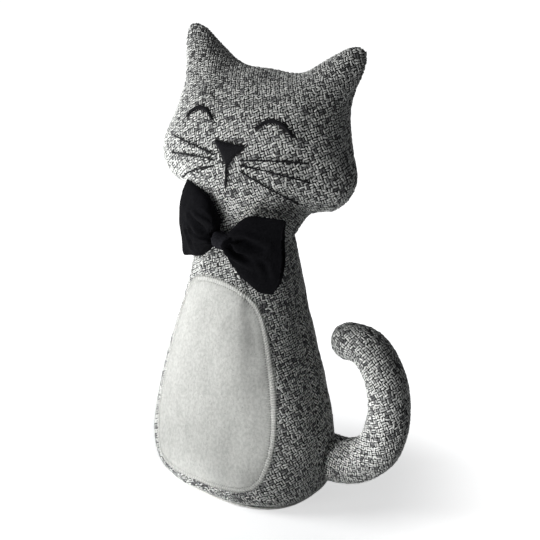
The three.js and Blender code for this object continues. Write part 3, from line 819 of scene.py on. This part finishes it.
def cotton_material(name, level):
    shader = Shader(name)
    threads = shader.crossed_bands("XZ", Scale=330.0, Distortion=0.6, Detail=1.0, Detail_Scale=2.0)
    dark, light = np.array((0.0025, 0.0025, 0.0031)), np.array((0.0060, 0.0060, 0.0071))
    # level lightens the whole cloth; above 1 it paints light onto a lit copy of the same cotton.
    colour = shader.ramp(shader.noise(700, 4), [(0.3, dark * level), (0.72, light * level)])
    lint = shader.ramp(shader.noise(2300, 2), [(0.66, 0.0), (0.74, 0.35)])
    colour = shader.mixed("ADD", 0.01, colour, lint)
    fold = shader.bump(shader.noise(75, 3), 1.0 * MM, 0.35)
    cloth = shader.bump(threads, 0.12 * MM, 0.9, fold)
    return shader.finish(colour, cloth, 0.9, specular=0.03)


def thread_material():
    shader = Shader("black_thread")
    colour = shader.tones(1800, 0.3, (0.004, 0.004, 0.005), 0.75, (0.012, 0.012, 0.014))
    normal = shader.bump(shader.noise(3600, 3, shader.stretched((1.0, 1.0, 0.3))), 0.08 * MM)
    return shader.finish(colour, normal, 0.6, specular=0.12)


def base_cloth_material():
    shader = Shader("base_cloth")
    check = shader.crossed_bands("XY", Scale=95.0, Distortion=1.2, Detail=2.0, Detail_Scale=3.0)
    colour = shader.ramp(check, [(0.1, (0.05, 0.05, 0.05)), (0.6, (0.34, 0.34, 0.33))])
    normal = shader.bump(check, 0.5 * MM)
    fine = shader.bump(shader.noise(1500, 3), 0.2 * MM, 0.6, normal)
    return shader.finish(colour, fine, 0.94, sheen=0.1, specular=0.15)


def dress(piece, material, slot, *nodes):
    """Gives a piece its material, and says which CAD nodes it stands for. The slot is not used."""
    piece.data.materials.clear()
    piece.data.materials.append(material)
    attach(piece, "root")
    if nodes:
        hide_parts(*nodes)


# Pieces

def make_body(yarn, shade_ground):
    body = stuffed("stuffed_body", "body", BODY_VOXEL, BODY_SWELL)

    def relief(point, normal):
        out = LUMP_HEIGHT * lumps(point, LUMP_WAVE)
        if normal.z > -0.6 or point.z > CHEST_HEIGHT:
            out += seam_groove(side_of(point), point)
        if point.z < 2 * FOOT_HEIGHT:
            out += FOOT_SWELL * math.exp(-(point.z / FOOT_HEIGHT) ** 2) * (1 - normal.z ** 2)
        return out

    push_out(body, relief)
    labels = label_faces(body, body_panel)
    pressed = FaceSurface(surface_of(body)).stitched_places()
    weave("tweed_head", body, labels, (0, 1), 11, yarn, pressed)
    weave("tweed_torso", body, labels, (2, 3), 12, yarn)
    # The skin itself wears the near-black ground: painted shade between the floats and on the
    # underside.
    dress(body, shade_ground, "tweed", "stuffed_body")
    return body


def body_panel(point, normal):
    """Head front and back 0 and 1, torso front and back 2 and 3, underside 4."""
    if point.z < UNDERSIDE_HEIGHT and normal.z < UNDERSIDE_NORMAL:
        return 4
    behind = side_of(point) > 0
    return (0 if on_head(point) else 2) + int(behind)


def make_tail(yarn, shade_ground, body_skin):
    tail = stuffed("tail", "tail_skin", TAIL_VOXEL, TAIL_SWELL)
    bend = Vector((TAIL_BEND[0], TAIL_PLANE, TAIL_BEND[1]))

    def relief(point, normal):
        out = 0.6 * LUMP_HEIGHT * lumps(point + Vector((1, 0, 0)), 0.8 * LUMP_WAVE)
        inward = max(0.0, normal.dot((bend - point).normalized()))
        angle = math.atan2(point.z - bend.z, point.x - bend.x)
        out -= WRINKLE_DEPTH * inward ** 2 * (0.5 + 0.5 * math.sin(angle * WRINKLES))
        out += 0.5 * seam_groove(point.y - TAIL_PLANE, point)
        return out

    def panel(point, normal):
        """Front 0 and back 1, and 2 for the end that is sewn to the body."""
        nearest, out, _, _ = body_skin.find_nearest(point)
        ends = point.x < TAIL_ROOT[0] and point.z < TAIL_ROOT[1] and normal.x < -0.6
        sewn_in = (point - nearest).dot(out) < -0.4 * MM
        return 2 if ends or sewn_in else int(point.y > TAIL_PLANE)

    push_out(tail, relief)
    labels = label_faces(tail, panel)
    weave("tweed_tail", tail, labels, (0, 1), 13, yarn, method="MINIMUM_STRETCH")
    # The tail's skin wears the same near-black ground: painted shade between its floats.
    dress(tail, shade_ground, "tweed", "tail")


def hull_outline(points):
    """Convex outline of flat points, anticlockwise."""
    points = sorted({(round(x, 6), round(z, 6)) for x, z in points})

    def half(sequence):
        chain = []
        for p in sequence:
            while len(chain) > 1 and cross2(np.subtract(chain[-1], chain[-2]),
                                            np.subtract(p, chain[-1])) <= 0:
                chain.pop()
            chain.append(p)
        return chain[:-1]

    return np.array(half(points) + half(points[::-1]))


def even_outline(outline, count):
    """Points at even steps along a closed outline."""
    closed = np.vstack([outline, outline[:1]])
    steps = np.concatenate([[0], np.cumsum(norm(np.diff(closed, axis=0), axis=1))])
    places = np.linspace(0, steps[-1], count, endpoint=False)
    return np.stack([np.interp(places, steps, closed[:, k]) for k in (0, 1)], axis=1), steps[-1]


def patch_outline():
    """The patch's outline seen from the front, in even steps, with whole stitches round it."""
    front = np.array([vertex.co[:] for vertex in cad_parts["belly_patch"].data.vertices])
    hull = hull_outline(front[:, [0, 2]])
    hull[:, 0] += FELT_TUCK * np.clip(-hull[:, 0] / -hull[:, 0].min(), 0, 1) ** 2
    _, around = even_outline(hull, 400)
    return even_outline(hull, POINTS_A_STITCH * round(around / STITCH_PITCH))[0]


def front_of(skin, x, z):
    """Point and outward normal of a skin's front at a place in the XZ plane."""
    hit, normal, _, _ = skin.ray_cast(Vector((x, -0.2, z)), Vector((0, 1, 0)))
    return hit, (normal if normal.y < 0 else -normal)


def edge_round(inset):
    """Share of its thickness that the felt has at a distance from its edge."""
    return math.sqrt(max(0.0, 1 - (1 - min(1, max(0, inset) / FELT_EDGE)) ** 2))


def felt_sheet(skin, outline, at_needle):
    """The felt in rings from its edge inwards, pulled down at each needle hole."""
    to_middle = outline.mean(axis=0) - outline
    reach = norm(to_middle, axis=1, keepdims=True)
    points, hole_shade_marks = [], []
    for inset in FELT_RINGS:
        ring = outline + to_middle * np.minimum(inset / reach, 1 - 1e-3)
        pull = math.exp(-((inset - STITCH_REACH) / NEEDLE_WIDTH) ** 2)
        edge = edge_round(inset)
        for (x, z), needle in zip(ring, at_needle):
            hit, normal = front_of(skin, x, z)
            high = FLOAT_HEIGHT * 0.5 + FELT_THICKNESS * edge
            high -= NEEDLE_DEPTH * pull * (1.0 if needle else PULL_BETWEEN)
            high += FELT_SWELL * noise.noise(Vector((x, 0, z)) / FELT_WAVE) * edge
            points.append(hit + normal * high)
            # 1 at a needle hole, where the felt colour is painted near black as shade in the hole.
            hole_shade_marks.append(float(needle and inset == STITCH_REACH))
    count = len(outline)
    faces = ring_faces(len(FELT_RINGS), count)
    faces.append(tuple((len(FELT_RINGS) - 1) * count + k for k in range(count)))
    felt = add_piece("felt_patch", [tuple(p) for p in points], faces)
    felt.data.attributes.new("needle", "FLOAT", "POINT").data.foreach_set("value", hole_shade_marks)
    return felt


def whip_stitch(skin, x, z, centre, random):
    """One thread from its needle hole over the felt's edge into the tweed."""
    way = centre - np.array((x, z))
    way = way / norm(way)
    side = np.array((-way[1], way[0]))
    lean = random.normal(STITCH_LEAN, 0.07)
    reach_in = STITCH_REACH * random.uniform(0.78, 0.86)
    over = STITCH_OVERHANG * random.uniform(0.2, 1.7)
    line, ups = [], []
    for t in np.linspace(0, 1, 7):
        inset = -over + (reach_in + over) * t
        hit, normal = front_of(skin, *(np.array((x, z)) + way * inset + side * lean * inset))
        high = FLOAT_HEIGHT * 0.7 + FELT_THICKNESS * edge_round(inset)
        high += STITCH_RADIUS * (-0.35 if 0 < t < 1 else -0.8)
        line.append(np.array(hit + normal * high))
        ups.append(np.array(normal))
    taper = np.array([0.7, 1, 1, 1, 1, 0.9, 0.6]) * STITCH_RADIUS * random.uniform(0.85, 1.15)
    return tube(line, taper, 6, ups)


def make_patch(skin, felt, thread):
    """Felt laid on the belly, its edge sewn over with whip stitches."""
    outline = patch_outline()
    at_needle = np.arange(len(outline)) % POINTS_A_STITCH == 0
    patch = felt_sheet(skin, outline, at_needle)
    dress(patch, felt, "felted_cloth", "belly_patch")
    random, centre = np.random.default_rng(21), outline.mean(axis=0)
    sewing = join_threads("patch_stitches", [whip_stitch(skin, x, z, centre, random)
                                             for x, z in outline[at_needle]])
    dress(sewing, thread, "felted_cloth")


def make_face(surface, thread):
    """Satin and line stitches of the eyes, nose, mouth and whiskers."""
    face = FaceSurface(surface)
    random = np.random.default_rng(31)

    def satin(name, node, rungs, radius):
        """Threads side by side, each from one edge of a shape to the other."""
        threads = []
        for start, end in rungs:
            places = curve_points(start, (np.add(start, end) / 2), end, 5)
            heights = THREAD_LIFT + np.array([-0.5, 0.25, 0.4, 0.25, -0.5]) * MM
            threads.append(tube(face.line(places, heights), radius * random.uniform(0.9, 1.1), 5))
        dress(join_threads(name, threads), thread, "black_thread", node)

    def line_stitches(name, node, places, width, stitch):
        """A drawn line in back stitches that overlap a little."""
        length = norm(np.diff(places, axis=0), axis=1)
        along = np.concatenate([[0], np.cumsum(length)])
        count = max(2, round(along[-1] / stitch))
        threads = []
        for k in range(count):
            spots = np.linspace((k - 0.12) / count, (k + 1.12) / count, 7).clip(0, 1) * along[-1]
            run = np.stack([np.interp(spots, along, places[:, j]) for j in (0, 1)], axis=1)
            run = run + random.normal(0, 0.10, 2)
            heights = THREAD_LIFT + np.array([-0.35, 0.05, 0.2, 0.25, 0.2, 0.05, -0.35]) * MM
            thick = np.array([0.65, 0.95, 1, 1, 1, 0.95, 0.65]) * width / 2 * MM
            threads.append(tube(face.line(run, heights), thick, 6))
        dress(join_threads(name, threads), thread, "black_thread", node)

    for side, sign in (("left", 1), ("right", -1)):
        arc = eye_line(72)
        ways = np.gradient(arc, axis=0)
        ways /= norm(ways, axis=1, keepdims=True)
        across = np.stack([-ways[:, 1], ways[:, 0]], axis=1)
        taper = 1 - 0.7 * (1 - np.sin(np.pi * np.linspace(0, 1, 72))) ** 1.5
        rungs = []
        for middle, out, size in zip(arc, across, taper):
            half = out * EYE_LINE / 2 * size * random.uniform(0.94, 1.08)
            lean = ways[0] * random.normal(0, 0.05)
            rungs.append(((middle - half + lean) * (sign, 1), (middle + half - lean) * (sign, 1)))
        satin(f"stitched_eye_{side}", f"eye_{side}", rungs, SATIN_EYE)
        for level, ends in WHISKERS.items():
            places = whisker_line(ends, 24) * (sign, 1)
            node = f"whisker_{side}_{level}"
            line_stitches(f"stitched_{node}", node, places, WHISKER_LINE, WHISKER_STITCH)

    rungs = [(np.add(low, (0, random.normal(0, 0.15))), np.add(high, (0, random.normal(0, 0.15))))
             for low, high in nose_rungs(52)]
    satin("stitched_nose", "nose", rungs, SATIN_NOSE)
    line_stitches("stitched_mouth", "mouth", mouth_line(16), MOUTH_LINE, MOUTH_STITCH)


def fold_depth(x, z):
    """How far the bow's front sinks in its folds at a place, with a ridge beside each."""
    sink = 0.0
    here = np.array((x, z))
    for line, depth, width in BOW_FOLDS:
        best, share = 1e9, 0.0
        total = len(line) - 1
        for k in range(total):
            a, b = np.array(line[k]), np.array(line[k + 1])
            t = np.clip(np.dot(here - a, b - a) / np.dot(b - a, b - a), 0, 1)
            away = norm(here - a - (b - a) * t)
            if away < best:
                best, share = away, (k + t) / total
        fade = 1 - FOLD_FADE * share ** 1.5
        sink += depth * fade * math.exp(-(best / width) ** 2)
        sink -= (RIDGE_SHARE * depth * fade
                 * math.exp(-((best - RIDGE_PLACE * width) / width) ** 2))
    return sink


def make_bow(cotton, lit_band_cotton):
    """The bow's doubled cloth with its folds, and the band round its pinch."""
    bow = copy_node("bow_cloth", "bow")
    finer = bow.modifiers.new("finer", "SUBSURF")
    finer.subdivision_type, finer.levels = "SIMPLE", 2
    settle(bow)
    low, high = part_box("bow_knot")
    middle = (low + high) / 2

    def folded(point, normal):
        facing = max(0.0, -normal.y)
        out = -FOLD_STRENGTH * fold_depth(point.x / MM, point.z / MM) * MM * facing
        out += BOW_CREASE * noise.noise(point / BOW_WAVE)
        under_band = low.x < point.x < high.x and low.z < point.z < high.z
        return min(out, -BAND_PINCH) if under_band else out

    push_out(bow, folded)
    pulled = points_of(bow)
    for corner, way, reach in BOW_CORNERS:
        away = norm(pulled[:, [0, 2]] / MM - corner, axis=1)
        share = np.exp(-(away / reach) ** 2)[:, None]
        pulled[:, [0, 2]] += share * np.array(way) * MM
    move_points(bow, pulled)
    dress(bow, cotton, "black_cotton", "bow_cloth")

    knot = copy_node("bow_knot", "knot")
    even_mesh(knot, 0.8 * MM, 1)
    hug(knot, "bow_knot")

    def crumpled(point, normal):
        across = (point.x - middle.x) / (high.x - low.x) * 2
        fold = math.sin(across * 4.2 + 0.6 * noise.noise(point / KNOT_WAVE))
        return KNOT_CREASE * fold - KNOT_ROUND * across ** 2

    push_out(knot, crumpled)
    # The band wears the lighter copy of the bow's cotton: painted light.
    dress(knot, lit_band_cotton, "black_cotton", "bow_knot")


def make_base(cloth, thread):
    """Flat oval of cloth underneath, with the turned edge of the seam round it."""
    base = copy_node("base_panel", "base_cloth")
    outline = hull_outline([vertex.co[:2] for vertex in base.data.vertices])
    even_mesh(base, 1.2 * MM, 1)

    def worn(point, normal):
        return 0.0 if normal.z < -0.5 else 0.3 * MM * noise.noise(point / (6 * MM))

    push_out(base, worn)
    dress(base, cloth, "base_cloth", "base_panel")
    places, _ = even_outline(outline * RIM_REACH, 300)
    line = [(x, y, RIM_HEIGHT + 0.2 * MM * noise.noise(Vector((x, y, 0)) / (4 * MM)))
            for x, y in np.vstack([places, places[:1]])]
    rim = join_threads("base_rim", [tube(line, RIM_RADIUS, 6, (0, 0, 1.0))])
    dress(rim, thread, "base_cloth")


# Stage, lights and camera

def seen_directly(shader):
    """1 for what the camera sees itself or in gloss or glass, and 0 for light that bounces."""
    path = shader.node("LightPath")
    either = shader.math("MAXIMUM", path.outputs["Is Camera Ray"], path.outputs["Is Glossy Ray"])
    return shader.math("MAXIMUM", either, path.outputs["Is Transmission Ray"])


def make_stage():
    size, height = 4.0, -0.0004
    corners = [(x * size, y * size, height) for x, y in ((-1, -1), (1, -1), (1, 1), (-1, 1))]
    floor = add_piece("floor", corners, [(0, 1, 2, 3)])
    shader = Shader("floor")
    shader.give(shader.bsdf, Base_Color=(*FLOOR_COLOUR, 1), Roughness=0.9, Specular_IOR_Level=0.0,
                Emission_Color=(1, 1, 1, 1))
    away = shader.node("VectorMath", operation="LENGTH")
    shader.link(shader.place(), away, "Vector")
    glow = shader.node("MapRange", interpolation_type="SMOOTHSTEP")
    shader.link(away.outputs["Value"], glow, "Value")
    for socket, value in zip(("From Min", "From Max", "To Min", "To Max"), FLOOR_GLOW):
        glow.inputs[socket].default_value = value
    shader.link(shader.math("MULTIPLY", seen_directly(shader), glow.outputs["Result"]),
                shader.bsdf, "Emission Strength")
    floor.data.materials.append(shader.material)


def make_world():
    world = bpy.data.worlds.new("studio")
    scene.world = world
    world.use_nodes = True
    background = world.node_tree.nodes["Background"]
    shader = Shader("studio", world.node_tree)
    shader.give(background, Color=SURROUNDINGS)
    level = shader.node("MapRange", To_Min=AMBIENT, To_Max=1.0)
    shader.link(seen_directly(shader), level, "Value")
    shader.link(level.outputs["Result"], background, "Strength")


def add_light(name, kind, place, aim_at, power):
    """A lamp that neither the camera nor a gloss shows."""
    light = bpy.data.lights.new(name, kind)
    light.energy = power
    holder = put(name, light)
    holder.location = place
    holder.rotation_euler = (Vector(aim_at) - Vector(place)).to_track_quat("-Z", "Y").to_euler()
    holder.visible_camera = holder.visible_glossy = False
    return light


def make_lamp(name, place, aim_at, size, power):
    lamp = add_light(name, "AREA", place, aim_at, power)
    lamp.shape, lamp.size = "DISK", size


def make_spot(name, power, angle, place, aim_at):
    """A narrow lamp, for the tail past the torso and for the foot over the floor."""
    lamp = add_light(name, "SPOT", place, aim_at, power)
    lamp.shadow_soft_size, lamp.spot_blend = 0.04, 1.0
    lamp.spot_size = math.radians(angle)


def make_camera():
    turn, rise, roll = (math.radians(a) for a in (CAMERA_TURN, CAMERA_RISE, CAMERA_ROLL))
    back = Vector((math.sin(turn) * math.cos(rise), -math.cos(turn) * math.cos(rise),
                   math.sin(rise)))
    right = Vector((math.cos(turn), math.sin(turn), 0))
    up = back.cross(right)
    x_axis = right * math.cos(roll) + up * math.sin(roll)
    y_axis = up * math.cos(roll) - right * math.sin(roll)
    target = Vector((0, 0, CAMERA_TARGET_HEIGHT)) + right * CAMERA_TARGET_SIDE
    matrix = Matrix((x_axis, y_axis, back)).transposed().to_4x4()
    matrix.translation = target + back * CAMERA_DISTANCE
    data = bpy.data.cameras.new("camera")
    data.lens, data.sensor_width = CAMERA_LENS, 36
    data.clip_start, data.clip_end = 0.05, 20
    scene.camera = put("camera", data)
    scene.camera.matrix_world = matrix


make_camera()
tweed = (tweed_yarn_material(), tweed_shade_ground_material())
skin = surface_of(make_body(*tweed))
make_tail(*tweed, skin)
stitching = stitch_material()
make_patch(skin, felt_material(), stitching)
make_face(skin, thread_material())
# The band's cotton is the bow's, three times as light: painted light where the knot catches the lamp.
make_bow(cotton_material("black_cotton", 1.0), cotton_material("black_cotton_band_painted_light", 3.0))
make_base(base_cloth_material(), stitching)
make_stage()
make_world()
make_lamp("key", KEY_PLACE, (0, 0, CAMERA_TARGET_HEIGHT), KEY_SIZE, KEY_POWER)
over_bounce = Vector(BOUNCE_PLACE) + Vector((0, 0, 1))
make_lamp("floor_bounce", BOUNCE_PLACE, over_bounce, BOUNCE_SIZE, BOUNCE_POWER)
make_spot("tail_light", *TAIL_SPOT)
make_spot("foot_light", *FOOT_SPOT)
scene.view_settings.view_transform = "Standard"
